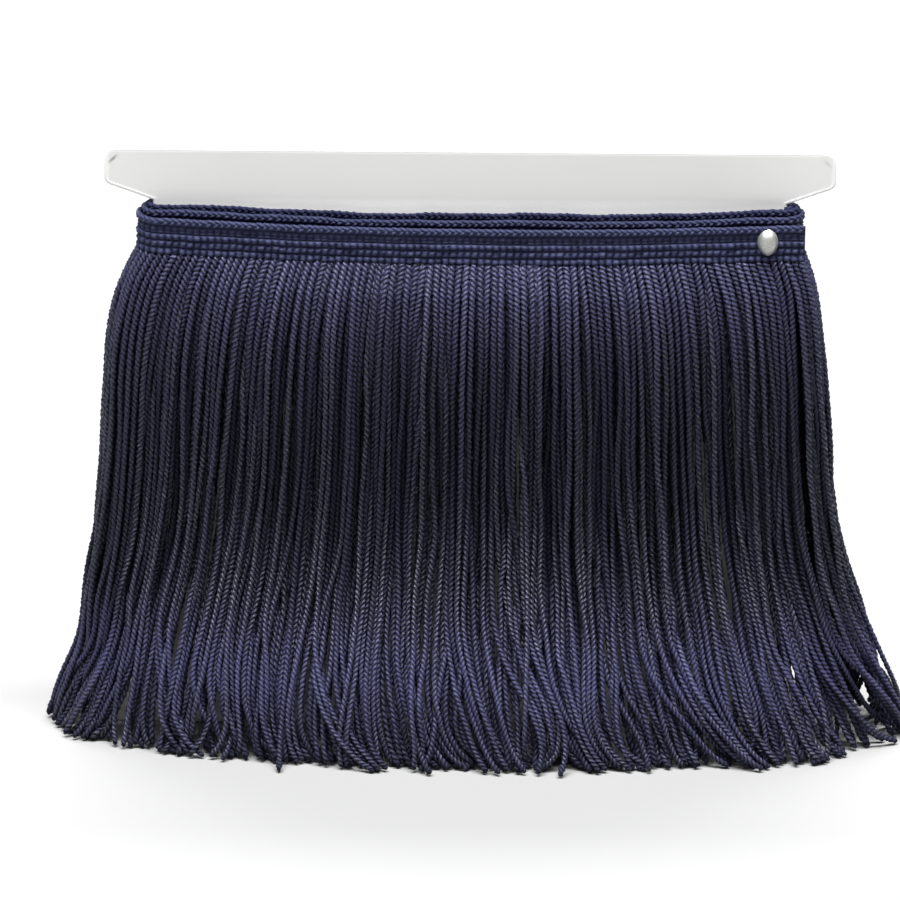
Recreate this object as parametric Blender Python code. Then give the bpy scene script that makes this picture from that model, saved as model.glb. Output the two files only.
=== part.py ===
"""Spaghetti fringe trim wound round the neck of a flat winding card.

Metres, +Z up. The card stands on its lower edge at z = 0, along X, and the front faces -Y.
The header tape is wound from its free end at the front right: left along the front, round the
left end, right along the back and round the right end, each turn nearer to the card.
Every strand hangs from a narrow strip under the tape and ends level on the floor.
"""

import math

import bmesh
import bpy
import numpy as np

# Winding card
CARD_WIDTH = 0.2404
CARD_HEIGHT = 0.2040
CARD_THICKNESS = 0.0026
HEAD_SIDE = 0.0112
SHOULDER_DROP = 0.0060
NECK_HALF_WIDTH = 0.1015
CARD_CORNER_RADIUS = 0.0042
SHOULDER_RADIUS = 0.0020
CARD_EDGE_BEVEL = 0.0005

# Header tape
TAPE_HEIGHT = 0.0125
TAPE_THICKNESS = 0.0013
CHAIN_THICKNESS = 0.0018
CHAIN_HEIGHT = 0.0024
TURNS = 2.95
OUTER_OFFSET = 0.0092
TURN_PITCH = 0.0022
STRAIGHT_SHARE = 0.45
FREE_END = 0.0085
# The tape's top edge in each turn at mid front, from the outer turn inwards: z at the ends
# of the card, and z at its middle, where the tape sags.
TOP_BY_TURN = (
    # turn, z at the ends, z at the middle
    (0.2, 0.1812, 0.1796),
    (1.2, 0.1845, 0.1822),
    (2.2, 0.1868, 0.1839),
)

# Fringe
STRAND_PITCH = 0.00235
STRAND_WIDTH = 0.00185
STRIP_HEIGHT = 0.0012
GAP = 0.0003
# How far a strand has moved outwards from its root at each height, as a share of its whole spread.
OUTER_PROFILE = (
    # z, share of the spread
    (0.1470, 0.17),
    (0.0750, 0.37),
    (0.0450, 0.57),
    (0.0200, 0.83),
    (0.0000, 1.00),
)
INNER_PROFILE = (
    # z, share of the spread
    (0.1000, 0.28),
    (0.0400, 0.60),
    (0.0000, 1.00),
)
FOOTPRINT_HALF_WIDTH = 0.1420
FOOTPRINT_HALF_DEPTH = 0.0410
FOOTPRINT_POWER = 1.65
FRONT_RIGHT_TIP = 0.1320
OTHER_CORNER_TIP = 0.1220
TIP_UNEVENNESS = 0.0045
CLUMP_LENGTH = 0.0150
CLUMP_SHIFT = 0.0005
INNER_TURN = 2.0
INNER_STRANDS = 25
INNER_TIP_DEPTH = 0.45
INNER_TIP_WIDTH = 1.08

# Stud through the free end of the tape
STUD_X = 0.0977
STUD_Z = 0.1755
STUD_HALF_SIZE = (0.0035, 0.0026, 0.0047)


def clear_scene():
    for thing in list(bpy.data.objects):
        bpy.data.objects.remove(thing, do_unlink=True)


def make_material(name, colour, roughness, metallic=0.0):
    material = bpy.data.materials.new(name)
    material.use_nodes = True
    shader = material.node_tree.nodes["Principled BSDF"]
    shader.inputs["Base Color"].default_value = (*colour, 1.0)
    shader.inputs["Roughness"].default_value = roughness
    shader.inputs["Metallic"].default_value = metallic
    return material


def add_object(name, bm, material, parent):
    bmesh.ops.recalc_face_normals(bm, faces=bm.faces[:])
    mesh = bpy.data.meshes.new(name)
    bm.to_mesh(mesh)
    bm.free()
    mesh.materials.append(material)
    thing = bpy.data.objects.new(name, mesh)
    bpy.context.scene.collection.objects.link(thing)
    thing.parent = parent
    return thing


def arc(centre, radius, start, end, steps=5):
    """Points of an arc in the card's plane. Angles are in degrees, anticlockwise from +X."""
    angles = np.radians(np.linspace(start, end, steps))
    return [(centre[0] + radius * math.cos(a), centre[1] + radius * math.sin(a)) for a in angles]


def card_quarter():
    """The upper right quarter of the card's outline, from the middle of the top to the neck."""
    side = CARD_WIDTH / 2
    top = CARD_HEIGHT
    lower = top - HEAD_SIDE
    r = CARD_CORNER_RADIUS
    shoulder = SHOULDER_RADIUS
    slope = math.degrees(math.atan2(SHOULDER_DROP, side - NECK_HALF_WIDTH))
    points = arc((side - r, top - r), r, 90, 0)
    points += arc((side - shoulder, lower + shoulder), shoulder, 0, slope - 90)
    points.append((NECK_HALF_WIDTH, lower - SHOULDER_DROP))
    return points


def make_card(parent):
    quarter = card_quarter()
    foot = [(x, CARD_HEIGHT - z) for x, z in reversed(quarter)]
    right = quarter + foot
    outline = right + [(-x, z) for x, z in reversed(right)]
    bm = bmesh.new()
    back = bm.faces.new([bm.verts.new((x, CARD_THICKNESS / 2, z)) for x, z in outline])
    front = bmesh.ops.extrude_face_region(bm, geom=[back])
    moved = [v for v in front["geom"] if isinstance(v, bmesh.types.BMVert)]
    bmesh.ops.translate(bm, verts=moved, vec=(0, -CARD_THICKNESS, 0))
    card = add_object("card", bm, make_material("card_white", (0.74, 0.74, 0.72), 0.42), parent)
    bevel = card.modifiers.new("edge", "BEVEL")
    bevel.width = CARD_EDGE_BEVEL
    bevel.segments = 1
    bevel.limit_method = "ANGLE"
    bevel.angle_limit = math.radians(60)
    return card


def winding_place(turn):
    """The tape's centreline after this many turns: its point and outward direction in plan.

    Each turn is a front run, a left end, a back run and a right end.
    """
    offset = OUTER_OFFSET - TURN_PITCH * turn
    phase = turn % 1.0
    half_turn = phase % 0.5
    side = 1.0 if phase < 0.5 else -1.0
    if half_turn < STRAIGHT_SHARE:
        along = NECK_HALF_WIDTH * (1 - 2 * half_turn / STRAIGHT_SHARE)
        return (side * along, -side * offset), (0.0, -side)
    angle = math.pi * (half_turn - STRAIGHT_SHARE) / (0.5 - STRAIGHT_SHARE)
    out = (-side * math.sin(angle), -side * math.cos(angle))
    return (-side * NECK_HALF_WIDTH + offset * out[0], offset * out[1]), out


def tape_top(turn, x):
    """Height of the tape's top edge, which drops from turn to turn and sags between the ends."""
    turns, ends, middle = zip(*TOP_BY_TURN)
    at_ends = np.interp(turn, turns, ends)
    at_middle = np.interp(turn, turns, middle)
    sag = max(0.0, 1 - (x / NECK_HALF_WIDTH) ** 2)
    return at_ends + (at_middle - at_ends) * sag


def loft(bm, rings):
    """Joins closed rings of points into a tube with flat ends. Returns the side faces by span."""
    rows = [[bm.verts.new(place) for place in ring] for ring in rings]
    sides = []
    for near, far in zip(rows, rows[1:]):
        count = len(near)
        sides.append(
            [
                bm.faces.new((near[i], near[(i + 1) % count], far[(i + 1) % count], far[i]))
                for i in range(count)
            ]
        )
    bm.faces.new(reversed(rows[0]))
    bm.faces.new(rows[-1])
    return sides


def ring_at(place, out, section, base_z):
    """The section's points, given as outward and upward distances, set up at one place."""
    return [(place[0] + n * out[0], place[1] + n * out[1], base_z + z) for n, z in section]


def tape_section():
    """Half-thicknesses and heights round the tape: a plain web with a thick chain along its top."""
    web = TAPE_THICKNESS / 2
    chain = CHAIN_THICKNESS / 2
    low = TAPE_HEIGHT - CHAIN_HEIGHT
    middle = TAPE_HEIGHT - CHAIN_HEIGHT / 2
    return (
        (web, 0.0),
        (web, low),
        (chain, middle),
        (web / 2, TAPE_HEIGHT),
        (-web / 2, TAPE_HEIGHT),
        (-chain, middle),
        (-web, low),
        (-web, 0.0),
    )


def header_turns():
    """Where the tape's sections stand: closer together round the ends than along the runs."""
    turns = []
    straight = np.linspace(0, STRAIGHT_SHARE, 6)
    end = np.linspace(STRAIGHT_SHARE, 0.5, 7)[1:-1]
    for half in np.arange(0, TURNS, 0.5):
        turns += [half + t for t in (*straight, *end)]
    return [t for t in turns if t < TURNS] + [TURNS]


def make_header(parent):
    section = tape_section()
    place, out = winding_place(0.0)
    tail = (place[0] + FREE_END, place[1])
    rings = [ring_at(tail, out, section, tape_top(0.0, tail[0]) - TAPE_HEIGHT)]
    for turn in header_turns():
        place, out = winding_place(turn)
        rings.append(ring_at(place, out, section, tape_top(turn, place[0]) - TAPE_HEIGHT))
    bm = bmesh.new()
    loft(bm, rings)
    return add_object("header", bm, make_material("header_navy", (0.020, 0.021, 0.055), 0.62), parent)


def footprint():
    """Where the outer strands meet the floor: a flattened oval, starting at +X, anticlockwise."""
    angles = np.linspace(0, 2 * math.pi, 721)
    cos, sin = np.cos(angles), np.sin(angles)
    x = FOOTPRINT_HALF_WIDTH * np.sign(cos) * np.abs(cos) ** (2 / FOOTPRINT_POWER)
    y = FOOTPRINT_HALF_DEPTH * np.sign(sin) * np.abs(sin) ** (2 / FOOTPRINT_POWER)
    along = np.concatenate([[0.0], np.cumsum(np.hypot(np.diff(x), np.diff(y)))])
    return x, y, along


def distance_round(oval, tip_x, front):
    """Distance along the footprint of the point with this x, on the front or the back."""
    x, _, along = oval
    half = len(x) // 2
    if front:
        return float(np.interp(tip_x, x[half:], along[half:]))
    return float(np.interp(-tip_x, -x[: half + 1], along[: half + 1]))


def outer_tips(start, end, count, rng):
    """Tips spread evenly along the footprint from one distance to another, then drawn into
    clumps and pulled in by uneven amounts."""
    x, y, along = footprint()
    even = np.linspace(start, end, count)
    drift = np.sin(2 * math.pi * even / CLUMP_LENGTH) + 0.4 * np.sin(2 * math.pi * even / (1.7 * CLUMP_LENGTH))
    at = (even + CLUMP_SHIFT * drift) % along[-1]
    tips = np.stack([np.interp(at, along, x), np.interp(at, along, y)], axis=1)
    pulled_in = TIP_UNEVENNESS * rng.random(count) ** 2 / FOOTPRINT_HALF_DEPTH
    return tips * np.stack([np.ones(count), 1 - pulled_in], axis=1)


def extrude_strand(face, root, tip, profile, bm):
    """Carries a root face down to the floor, along the profile's heights."""
    here = np.zeros(2)
    for height, share in profile:
        there = share * (np.array(tip) - np.array(root))
        step = there - here
        here = there
        face = bmesh.ops.extrude_discrete_faces(bm, faces=[face])["faces"][0]
        for vert in face.verts:
            vert.co.x += step[0]
            vert.co.y += step[1]
            vert.co.z = height


def make_fringe(name, roots, tips, profile, material, parent):
    """A strip just under the tape with one strand hanging from it at each root.

    roots holds each strand's place, outward direction and the height of the tape's lower edge.
    """
    half = STRAND_WIDTH / 2
    section = ((half, -STRIP_HEIGHT), (half, 0.0), (-half, 0.0), (-half, -STRIP_HEIGHT))
    rings = []
    for place, out, edge_z in roots:
        for shift in (half, -half):
            at = (place[0] - shift * out[1], place[1] + shift * out[0])
            rings.append(ring_at(at, out, section, edge_z - GAP))
    bm = bmesh.new()
    sides = loft(bm, rings)
    underside = len(section) - 1
    bottoms = [span[underside] for span in sides[::2]]
    for face, (place, _, _), tip in zip(bottoms, roots, tips):
        extrude_strand(face, place, tip, profile, bm)
    return add_object(name, bm, material, parent)


def roots_along(turns):
    """Strand roots under the tape at these turns."""
    found = []
    for turn in turns:
        place, out = winding_place(turn)
        found.append((place, out, tape_top(turn, place[0]) - TAPE_HEIGHT))
    return found


def end_turns(finish):
    """Turns of the strand roots round the end of the card that is passed at this turn."""
    offset = OUTER_OFFSET - TURN_PITCH * finish
    length = math.pi * offset - 2 * STRAND_PITCH
    count = int(length / STRAND_PITCH) + 1
    half = (0.5 - STRAIGHT_SHARE) / 2
    reach = half * length / (math.pi * offset)
    return finish - half + np.linspace(-reach, reach, count)


def tail_roots():
    """Strand roots under the tape's free end, past the last one on the front run."""
    (x, y), out = winding_place(0.0)
    count = int(FREE_END / STRAND_PITCH)
    places = [x + STRAND_PITCH * k for k in range(count, 0, -1)]
    return [((at, y), out, tape_top(0.0, at) - TAPE_HEIGHT) for at in places]


def make_outer_fringe(material, parent):
    rng = np.random.default_rng(7)
    oval = footprint()
    front_right = distance_round(oval, FRONT_RIGHT_TIP, True)
    front_left = distance_round(oval, -OTHER_CORNER_TIP, True)
    back_left = distance_round(oval, -OTHER_CORNER_TIP, False)
    back_right = distance_round(oval, OTHER_CORNER_TIP, False)
    whole = oval[2][-1]
    run_count = int(2 * NECK_HALF_WIDTH / STRAND_PITCH)

    front = tail_roots() + roots_along(np.linspace(0.0, STRAIGHT_SHARE, run_count))
    left = roots_along(end_turns(0.5))
    back = roots_along(np.linspace(0.5, 0.5 + STRAIGHT_SHARE, run_count))
    right = roots_along(end_turns(1.0))
    end_step = (front_left - back_left) / (len(left) + 1)
    sections = (
        ("fringe_front", front, front_right, front_left),
        ("fringe_left", left, front_left - end_step, back_left + end_step),
        ("fringe_back", back, back_left, back_right),
        ("fringe_right", right, back_right - end_step, front_right - whole + end_step),
    )
    for name, roots, start, end in sections:
        tips = outer_tips(start, end, len(roots), rng)
        make_fringe(name, roots, tips, OUTER_PROFILE, material, parent)


def make_inner_fringe(material, parent):
    """The rows that hang from an inner turn, of which fewer strands are made."""
    runs = (
        ("fringe_inner_front", np.linspace(0.02, STRAIGHT_SHARE - 0.02, INNER_STRANDS)),
        ("fringe_inner_back", np.linspace(0.52, 0.48 + STRAIGHT_SHARE, INNER_STRANDS)),
    )
    for name, turns in runs:
        roots = roots_along(turns + INNER_TURN)
        tips = [
            (place[0] * INNER_TIP_WIDTH, out[1] * INNER_TIP_DEPTH * FOOTPRINT_HALF_DEPTH)
            for place, out, _ in roots
        ]
        make_fringe(name, roots, tips, INNER_PROFILE, material, parent)


def make_stud(parent):
    """A plain oval dome with a flat back against the tape."""
    bm = bmesh.new()
    bmesh.ops.create_uvsphere(bm, u_segments=16, v_segments=8, radius=1.0)
    bmesh.ops.scale(bm, verts=bm.verts[:], vec=STUD_HALF_SIZE)
    whole = bm.verts[:] + bm.edges[:] + bm.faces[:]
    cut = bmesh.ops.bisect_plane(
        bm, geom=whole, plane_co=(0, 0, 0), plane_no=(0, 1, 0), clear_outer=True
    )
    rim = [e for e in cut["geom_cut"] if isinstance(e, bmesh.types.BMEdge)]
    bmesh.ops.holes_fill(bm, edges=rim)
    stud = add_object("stud", bm, make_material("stud_metal", (0.42, 0.42, 0.44), 0.38, 0.9), parent)
    turn = STRAIGHT_SHARE * (1 - STUD_X / NECK_HALF_WIDTH) / 2
    (_, tape_y), _ = winding_place(turn)
    stud.location = (STUD_X, tape_y - TAPE_THICKNESS / 2 - GAP, STUD_Z)
    stud.data.shade_smooth()
    return stud


def main():
    clear_scene()
    root = bpy.data.objects.new("fringe_trim", None)
    bpy.context.scene.collection.objects.link(root)
    navy = make_material("strand_navy", (0.024, 0.025, 0.062), 0.55)
    make_card(root)
    make_header(root)
    make_outer_fringe(navy, root)
    make_inner_fringe(navy, root)
    make_stud(root)


main()
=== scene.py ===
import math

import bmesh
import bpy
import numpy as np
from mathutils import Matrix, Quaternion, Vector, kdtree


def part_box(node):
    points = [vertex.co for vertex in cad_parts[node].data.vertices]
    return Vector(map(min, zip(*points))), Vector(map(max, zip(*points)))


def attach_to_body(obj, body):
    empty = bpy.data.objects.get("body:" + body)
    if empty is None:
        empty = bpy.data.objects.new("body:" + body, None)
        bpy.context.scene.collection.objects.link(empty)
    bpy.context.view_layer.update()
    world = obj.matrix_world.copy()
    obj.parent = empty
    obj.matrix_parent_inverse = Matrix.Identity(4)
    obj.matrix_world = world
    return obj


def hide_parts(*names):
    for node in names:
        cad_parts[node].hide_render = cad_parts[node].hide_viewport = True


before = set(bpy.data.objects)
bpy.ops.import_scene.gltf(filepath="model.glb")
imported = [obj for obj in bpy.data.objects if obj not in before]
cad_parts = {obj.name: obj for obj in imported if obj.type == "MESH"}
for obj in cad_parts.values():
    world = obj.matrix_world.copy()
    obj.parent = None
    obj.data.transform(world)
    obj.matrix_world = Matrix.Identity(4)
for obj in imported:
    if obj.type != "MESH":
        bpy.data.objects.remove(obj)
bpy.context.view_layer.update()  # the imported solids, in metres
print("frame loaded, nodes:", len(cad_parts))


# Camera, above the front by the photo's angle, and level but for a slight roll
cameraView = {
    "aim": (-0.0066, 0.0, 0.0982),  # what the middle of the photo shows, on the card's plane
    "distance": 2.5,
    "elevation": 20.0,
    "roll": 0.45,
    "widthSeen": 0.3011,  # across the photo, at the card's plane
    "sensor": 36.0,
}


def addObject(name, data):
    thing = bpy.data.objects.new(name, data)
    bpy.context.scene.collection.objects.link(thing)
    return thing


def makeCamera(values):
    data = bpy.data.cameras.new("camera")
    data.sensor_width = values["sensor"]
    data.lens = values["sensor"] * values["distance"] / values["widthSeen"]
    camera = addObject("camera", data)
    elevation = math.radians(values["elevation"])
    back = Vector((0, -math.cos(elevation), math.sin(elevation)))
    camera.location = Vector(values["aim"]) + back * values["distance"]
    roll = Quaternion((0, 0, 1), math.radians(values["roll"]))
    camera.rotation_euler = ((-back).to_track_quat("-Z", "Y") @ roll).to_euler()
    bpy.context.scene.camera = camera


# Studio light: a long lamp overhead, one over the background, a weak one in front, a dim room
studio = {
    "lamps": (
        # name, place, aim, width, depth, watts
        ("overhead", (0.0, -0.36, 2.2), (0.0, -0.05, 0.0), 2.4, 0.5, 180.0),
        ("background", (0.0, 1.2, 2.0), (0.0, 1.35, 0.0), 2.4, 0.8, 110.0),
        ("key", (-0.2, -1.6, 1.9), (0.0, 0.0, 0.1), 1.6, 0.5, 12.0),
    ),
    "room": (0.95, 0.96, 1.0),
    "roomStrength": 0.08,
}


def addLamp(name, place, aim, width, depth, watts):
    data = bpy.data.lights.new(name, "AREA")
    data.shape = "RECTANGLE"
    data.size = width
    data.size_y = depth
    data.energy = watts
    lamp = addObject(name, data)
    lamp.location = place
    lamp.rotation_euler = (Vector(aim) - Vector(place)).to_track_quat("-Z", "Y").to_euler()


def makeStudio(values):
    for lamp in values["lamps"]:
        addLamp(*lamp)
    world = bpy.data.worlds.new("room")
    world.use_nodes = True
    background = world.node_tree.nodes["Background"]
    background.inputs["Color"].default_value = (*values["room"], 1.0)
    background.inputs["Strength"].default_value = values["roomStrength"]
    bpy.context.scene.world = world
    bpy.context.scene.view_settings.view_transform = "Standard"


class Wire:
    # one socket of a material's node tree; sums of wires and numbers add Math nodes
    def __init__(self, tree, socket=None):
        self.tree = tree
        self.socket = socket

    def node(self, kind, settings, sockets, output=0):
        made = self.tree.nodes.new(kind)
        for name, value in settings.items():
            setattr(made, name, value)
        for name, value in sockets.items():
            if isinstance(value, Wire):
                self.tree.links.new(value.socket, made.inputs[name])
            else:
                made.inputs[name].default_value = value
        return Wire(self.tree, made.outputs[output])

    def attribute(self, name):
        return self.node("ShaderNodeAttribute", {"attribute_name": name}, {}, "Fac")

    def noise(self, place, scale, detail):
        return self.node("ShaderNodeTexNoise", {}, {"Vector": place, "Scale": scale, "Detail": detail}, "Fac")

    def maths(self, operation, first, second=0.0):
        return self.node("ShaderNodeMath", {"operation": operation}, {0: first, 1: second})

    def __add__(self, other):
        return self.maths("ADD", self, other)

    def __sub__(self, other):
        return self.maths("SUBTRACT", self, other)

    def __rsub__(self, other):
        return self.maths("SUBTRACT", other, self)

    def __mul__(self, other):
        return self.maths("MULTIPLY", self, other)

    __radd__ = __add__
    __rmul__ = __mul__

    def clamped(self):
        return self.node("ShaderNodeClamp", {}, {0: self})


def newMaterial(name, fixed):
    # a material with these constants on its shader; attach adds the shader's links
    material = bpy.data.materials.new(name)
    material.use_nodes = True
    shader = material.node_tree.nodes["Principled BSDF"]
    for socket, value in fixed.items():
        shader.inputs[socket].default_value = value
    return material, Wire(material.node_tree)


def attach(material, wires):
    shader = material.node_tree.nodes["Principled BSDF"]
    for socket, wire in wires.items():
        wire.tree.links.new(wire.socket, shader.inputs[socket])
    return material


def mixed(start, factor, first, second):
    # a colour between two others; each is a wire or three numbers
    first, second = (c if isinstance(c, Wire) else (*c, 1.0) for c in (first, second))
    return start.node("ShaderNodeMix", {"data_type": "RGBA"}, {0: factor, 6: first, 7: second}, 2)


def bumped(start, height, distance=1.0):
    return start.node("ShaderNodeBump", {}, {"Height": height, "Distance": distance})


cordYarn = {
    "deep": (0.0015, 0.0018, 0.0120),  # painted shade down between the two plies
    "crest": (0.0430, 0.0435, 0.1080),  # the top of a ply, with painted light on it
    "paintedGlint": (0.0900, 0.0900, 0.1080),  # painted glint: a neutral highlight on a ply's crown where the yarn gets little light
    "toneAndShadeChange": 0.45,  # from cord to cord: a cord's own tone, with painted light where it stands forward and painted shade where it is set back
    "fineChange": 0.5,  # from filament to filament
    "wornChange": 0.3,  # from patch to patch
    "crown": (5.0, 3.9),  # how narrow a ply's lit crown is, and how much less so where painted light is high
    "glintFrom": 0.50,
    "glint": 18.5,
    "roughness": 0.42,
    "rougher": (0.3, 0.5, 0.5),  # by filament, between the plies, where shaded
    "unlitRougher": (0.20, 0.45),  # where painted light is low, and how much less so on a lighter cord
    "filaments": (46.0, 0.9, 1.0),  # how many round the cord, and to a millimetre along it
    "patches": (2.0, 0.12, 1.0),
    "filamentBump": 0.00006,
    "plyBump": 0.00042,
    "plump": 1.7,  # how high a ply stands, less its painted light
}


def cordMaterial(values):
    fixed = {"Specular IOR Level": 0.44, "Specular Tint": (0.86, 0.87, 1.0, 1.0)}
    material, start = newMaterial("cord_yarn", fixed)
    toneAndShade = start.attribute("toneAndShade")
    paintedLight = start.attribute("paintedLight")
    shade = start.attribute("shade")
    place = start.node("ShaderNodeUVMap", {"uv_map": "yarn"}, {})
    around = start.node("ShaderNodeSeparateXYZ", {}, {0: place}, "X")
    ply = start.maths("ABSOLUTE", start.maths("COSINE", around * (2 * math.pi)))
    stretched = start.node("ShaderNodeMapping", {}, {"Vector": place, "Scale": values["filaments"]})
    fine = start.noise(stretched, 1.0, 2.0)
    patches = start.node("ShaderNodeMapping", {}, {"Vector": place, "Scale": values["patches"]})
    worn = start.noise(patches, 1.0, 1.0)
    narrow, less = values["crown"]
    crown = start.maths("POWER", ply, narrow - less * paintedLight)
    lit = crown + (fine - 0.5) * values["fineChange"] + (toneAndShade - 0.5) * values["toneAndShadeChange"]
    lit = lit + (worn - 0.5) * values["wornChange"]
    # dull is where the painted light by height is low, down the waist
    dull = 1 - paintedLight
    # painted highlight: neutral glints on the crowns down the waist, strongest on the lighter cords
    glint = (fine - values["glintFrom"]).clamped() * dull * crown * shade * toneAndShade * toneAndShade * values["glint"]
    # painted light and shade: lit ply crowns against dark valleys, scaled by the painted light by height, the
    # cord's tone and the painted shade
    base = mixed(start, (lit * paintedLight * shade).clamped(), values["deep"], values["crest"])
    colour = mixed(start, glint.clamped(), base, values["paintedGlint"])
    filament, valley, dark = values["rougher"]
    rough = values["roughness"] + (fine - 0.5) * filament + (1 - ply) * valley + (1 - shade) * dark
    most, less = values["unlitRougher"]
    rough = rough + dull * (most - less * toneAndShade)
    height = start.maths("POWER", ply, 0.5) * (values["plump"] - paintedLight) * values["plyBump"]
    normal = bumped(start, height + fine * values["filamentBump"])
    return attach(material, {"Base Color": colour, "Roughness": rough.clamped(), "Normal": normal})


tapeYarn = {
    "deep": (0.0066, 0.0084, 0.0290),
    "crest": (0.0390, 0.0440, 0.0985),
    "fineChange": 1.1,
    "wornChange": 0.5,
    "roughness": 0.58,
    "deepRougher": 0.3,
    "bump": 0.00008,
}


def tapeMaterial(values):
    fixed = {"Specular IOR Level": 0.24, "Specular Tint": (0.9, 0.9, 1.0, 1.0)}
    material, start = newMaterial("tape_yarn", fixed)
    ridge = start.attribute("ridge")
    place = start.node("ShaderNodeTexCoord", {}, {}, "Object")
    fine = start.noise(place, 1500.0, 3.0)
    worn = start.noise(place, 160.0, 1.0)
    # ridge carries painted light and shade from the relief
    lit = ridge * 1.1 - 0.1 + (fine - 0.5) * values["fineChange"] + (worn - 0.5) * values["wornChange"]
    colour = mixed(start, lit.clamped(), values["deep"], values["crest"])
    rough = values["roughness"] + (fine - 0.5) * 0.2 + (1 - ridge) * values["deepRougher"]
    normal = bumped(start, fine, values["bump"])
    return attach(material, {"Base Color": colour, "Roughness": rough, "Normal": normal})


boardFinish = {
    "white": (0.63, 0.63, 0.62),
    "grey": (0.57, 0.57, 0.56),
    # painted highlight along the card's rounded edge and rim
    "rim": (0.74, 0.74, 0.73),
    "rimTop": (0.85, 0.85, 0.84),
    "rimTopFrom": 0.2022,  # the rim's painted highlight is brighter above this height, along the top edge
    "rimTopFade": 0.0005,
    "low": (0.84, 0.84, 0.83),
    "lowReach": (0.1871, 0.1832),  # heights between which it gets whiter towards the tape: painted light against the tape's shade on the card
    "ends": (0.645, 0.645, 0.635),
    "endReach": (0.080, 0.115),  # where it gets whiter towards its ends
    "cornerShade": (0.26, 0.26, 0.25),
    "cornerShadeAt": (0.1179, 0.2000),  # painted shade just inside the upper corners, along the inner rim
    "cornerShadeSize": (0.0026, 0.0007),  # along the corner's diagonal, and across it
    "cornerShadeStrength": (0.95, 4.0),  # at the middle, and its gain per metre leftwards
    "cornerShadeGrain": 0.4,
    "roughness": 0.42,
    "bump": 0.00002,
}


def boardMaterial(values):
    material, start = newMaterial("board_white", {"Specular IOR Level": 0.4})
    place = start.node("ShaderNodeTexCoord", {}, {}, "Object")
    wide = start.noise(place, 14.0, 2.0)
    fine = start.noise(place, 900.0, 2.0)
    rim = start.attribute("rim")
    x = start.node("ShaderNodeSeparateXYZ", {}, {0: place}, "X")
    z = start.node("ShaderNodeSeparateXYZ", {}, {0: place}, "Z")
    side = start.maths("ABSOLUTE", x + board["wider"])
    near, far = values["endReach"]
    face = mixed(start, wide, values["white"], values["grey"])
    face = mixed(start, ((side - near) * (1 / (far - near))).clamped(), face, values["ends"])
    # painted light: whiter towards the tape, against the shade it casts
    above, below = values["lowReach"]
    face = mixed(start, ((above - z) * (1 / (above - below))).clamped(), face, values["low"])
    # painted highlight on the rim, brighter along the top edge
    top = ((z - values["rimTopFrom"]) * (1 / values["rimTopFade"])).clamped()
    colour = mixed(start, rim, face, mixed(start, top, values["rim"], values["rimTop"]))
    # painted shade along the inner rim at the upper corners, stronger at the left
    sideAt, heightAt = values["cornerShadeAt"]
    cornerShaded = fine + values["cornerShadeGrain"]
    for way, size in zip((-1, 1), values["cornerShadeSize"]):
        diagonal = start.maths("ABSOLUTE", side - sideAt + (z - heightAt) * way)
        cornerShaded = cornerShaded * (1 - diagonal * (0.7 / size)).clamped()
    strength, more = values["cornerShadeStrength"]
    cornerShaded = cornerShaded * (strength - x * more)
    colour = mixed(start, cornerShaded.clamped(), colour, values["cornerShade"])
    rough = values["roughness"] + (wide - 0.5) * 0.15
    normal = bumped(start, fine, values["bump"])
    return attach(material, {"Base Color": colour, "Roughness": rough, "Normal": normal})


studFinish = {
    "bright": (0.62, 0.62, 0.60),
    "dull": (0.34, 0.34, 0.33),
    "roughness": 0.52,
    "bump": 0.00003,
}


def studMaterial(values):
    material, start = newMaterial("stud_metal", {"Metallic": 0.85})
    place = start.node("ShaderNodeTexCoord", {}, {}, "Object")
    fine = start.noise(place, 900.0, 3.0)
    colour = mixed(start, fine, values["bright"], values["dull"])
    rough = values["roughness"] + (fine - 0.5) * 0.25
    normal = bumped(start, fine, values["bump"])
    return attach(material, {"Base Color": colour, "Roughness": rough, "Normal": normal})


floorFinish = {
    "size": 9.0,
    "colour": (0.24, 0.24, 0.24),
    "dimmer": 0.99,
    "roughness": 0.8,
}


def floorMaterial(values):
    material, start = newMaterial("floor", {"Roughness": values["roughness"]})
    place = start.node("ShaderNodeTexCoord", {}, {}, "Object")
    wide = start.noise(place, 2.0, 2.0)
    dimmer = tuple(values["dimmer"] * c for c in values["colour"])
    return attach(material, {"Base Color": mixed(start, wide, values["colour"], dimmer)})


def pick(kind, test):
    # in edit mode, selects only the faces or edges that pass the test
    bpy.ops.mesh.select_mode(type=kind)
    bpy.ops.mesh.select_all(action="DESELECT")
    edited = bmesh.from_edit_mesh(bpy.context.object.data)
    for part in edited.faces if kind == "FACE" else edited.edges:
        if test(part):
            part.select = True
    edited.select_flush_mode()
    bmesh.update_edit_mesh(bpy.context.object.data)


def makeFloor(values, material):
    bpy.ops.object.select_all(action="DESELECT")
    bpy.ops.mesh.primitive_plane_add(size=values["size"], location=(0, 0, 0))
    floor = bpy.context.object
    floor.name = "floor"
    floor.data.materials.append(material)


# Winding card: a neck, with a head above it and a foot below
board = {
    "neckHalfWidth": 0.1048,
    "wider": 0.0006,  # the left end stands out by twice this; the right end stays
    "headSide": 0.0124,  # the straight side of the head and of the foot
    "shoulderDrop": 0.0058,
    "cornerRadius": 0.0042,
    "shoulderRadius": 0.0020,
    "edgeRadius": 0.0005,
    "rimWidth": 0.0005,  # of the rim round both faces, inside the rounded edge
    "grooveWidth": 0.00007,
    "grooveDepth": 0.00007,
    "paleWidth": 0.0007,  # of the band inside the groove, where the rim's painted highlight fades
}


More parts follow.
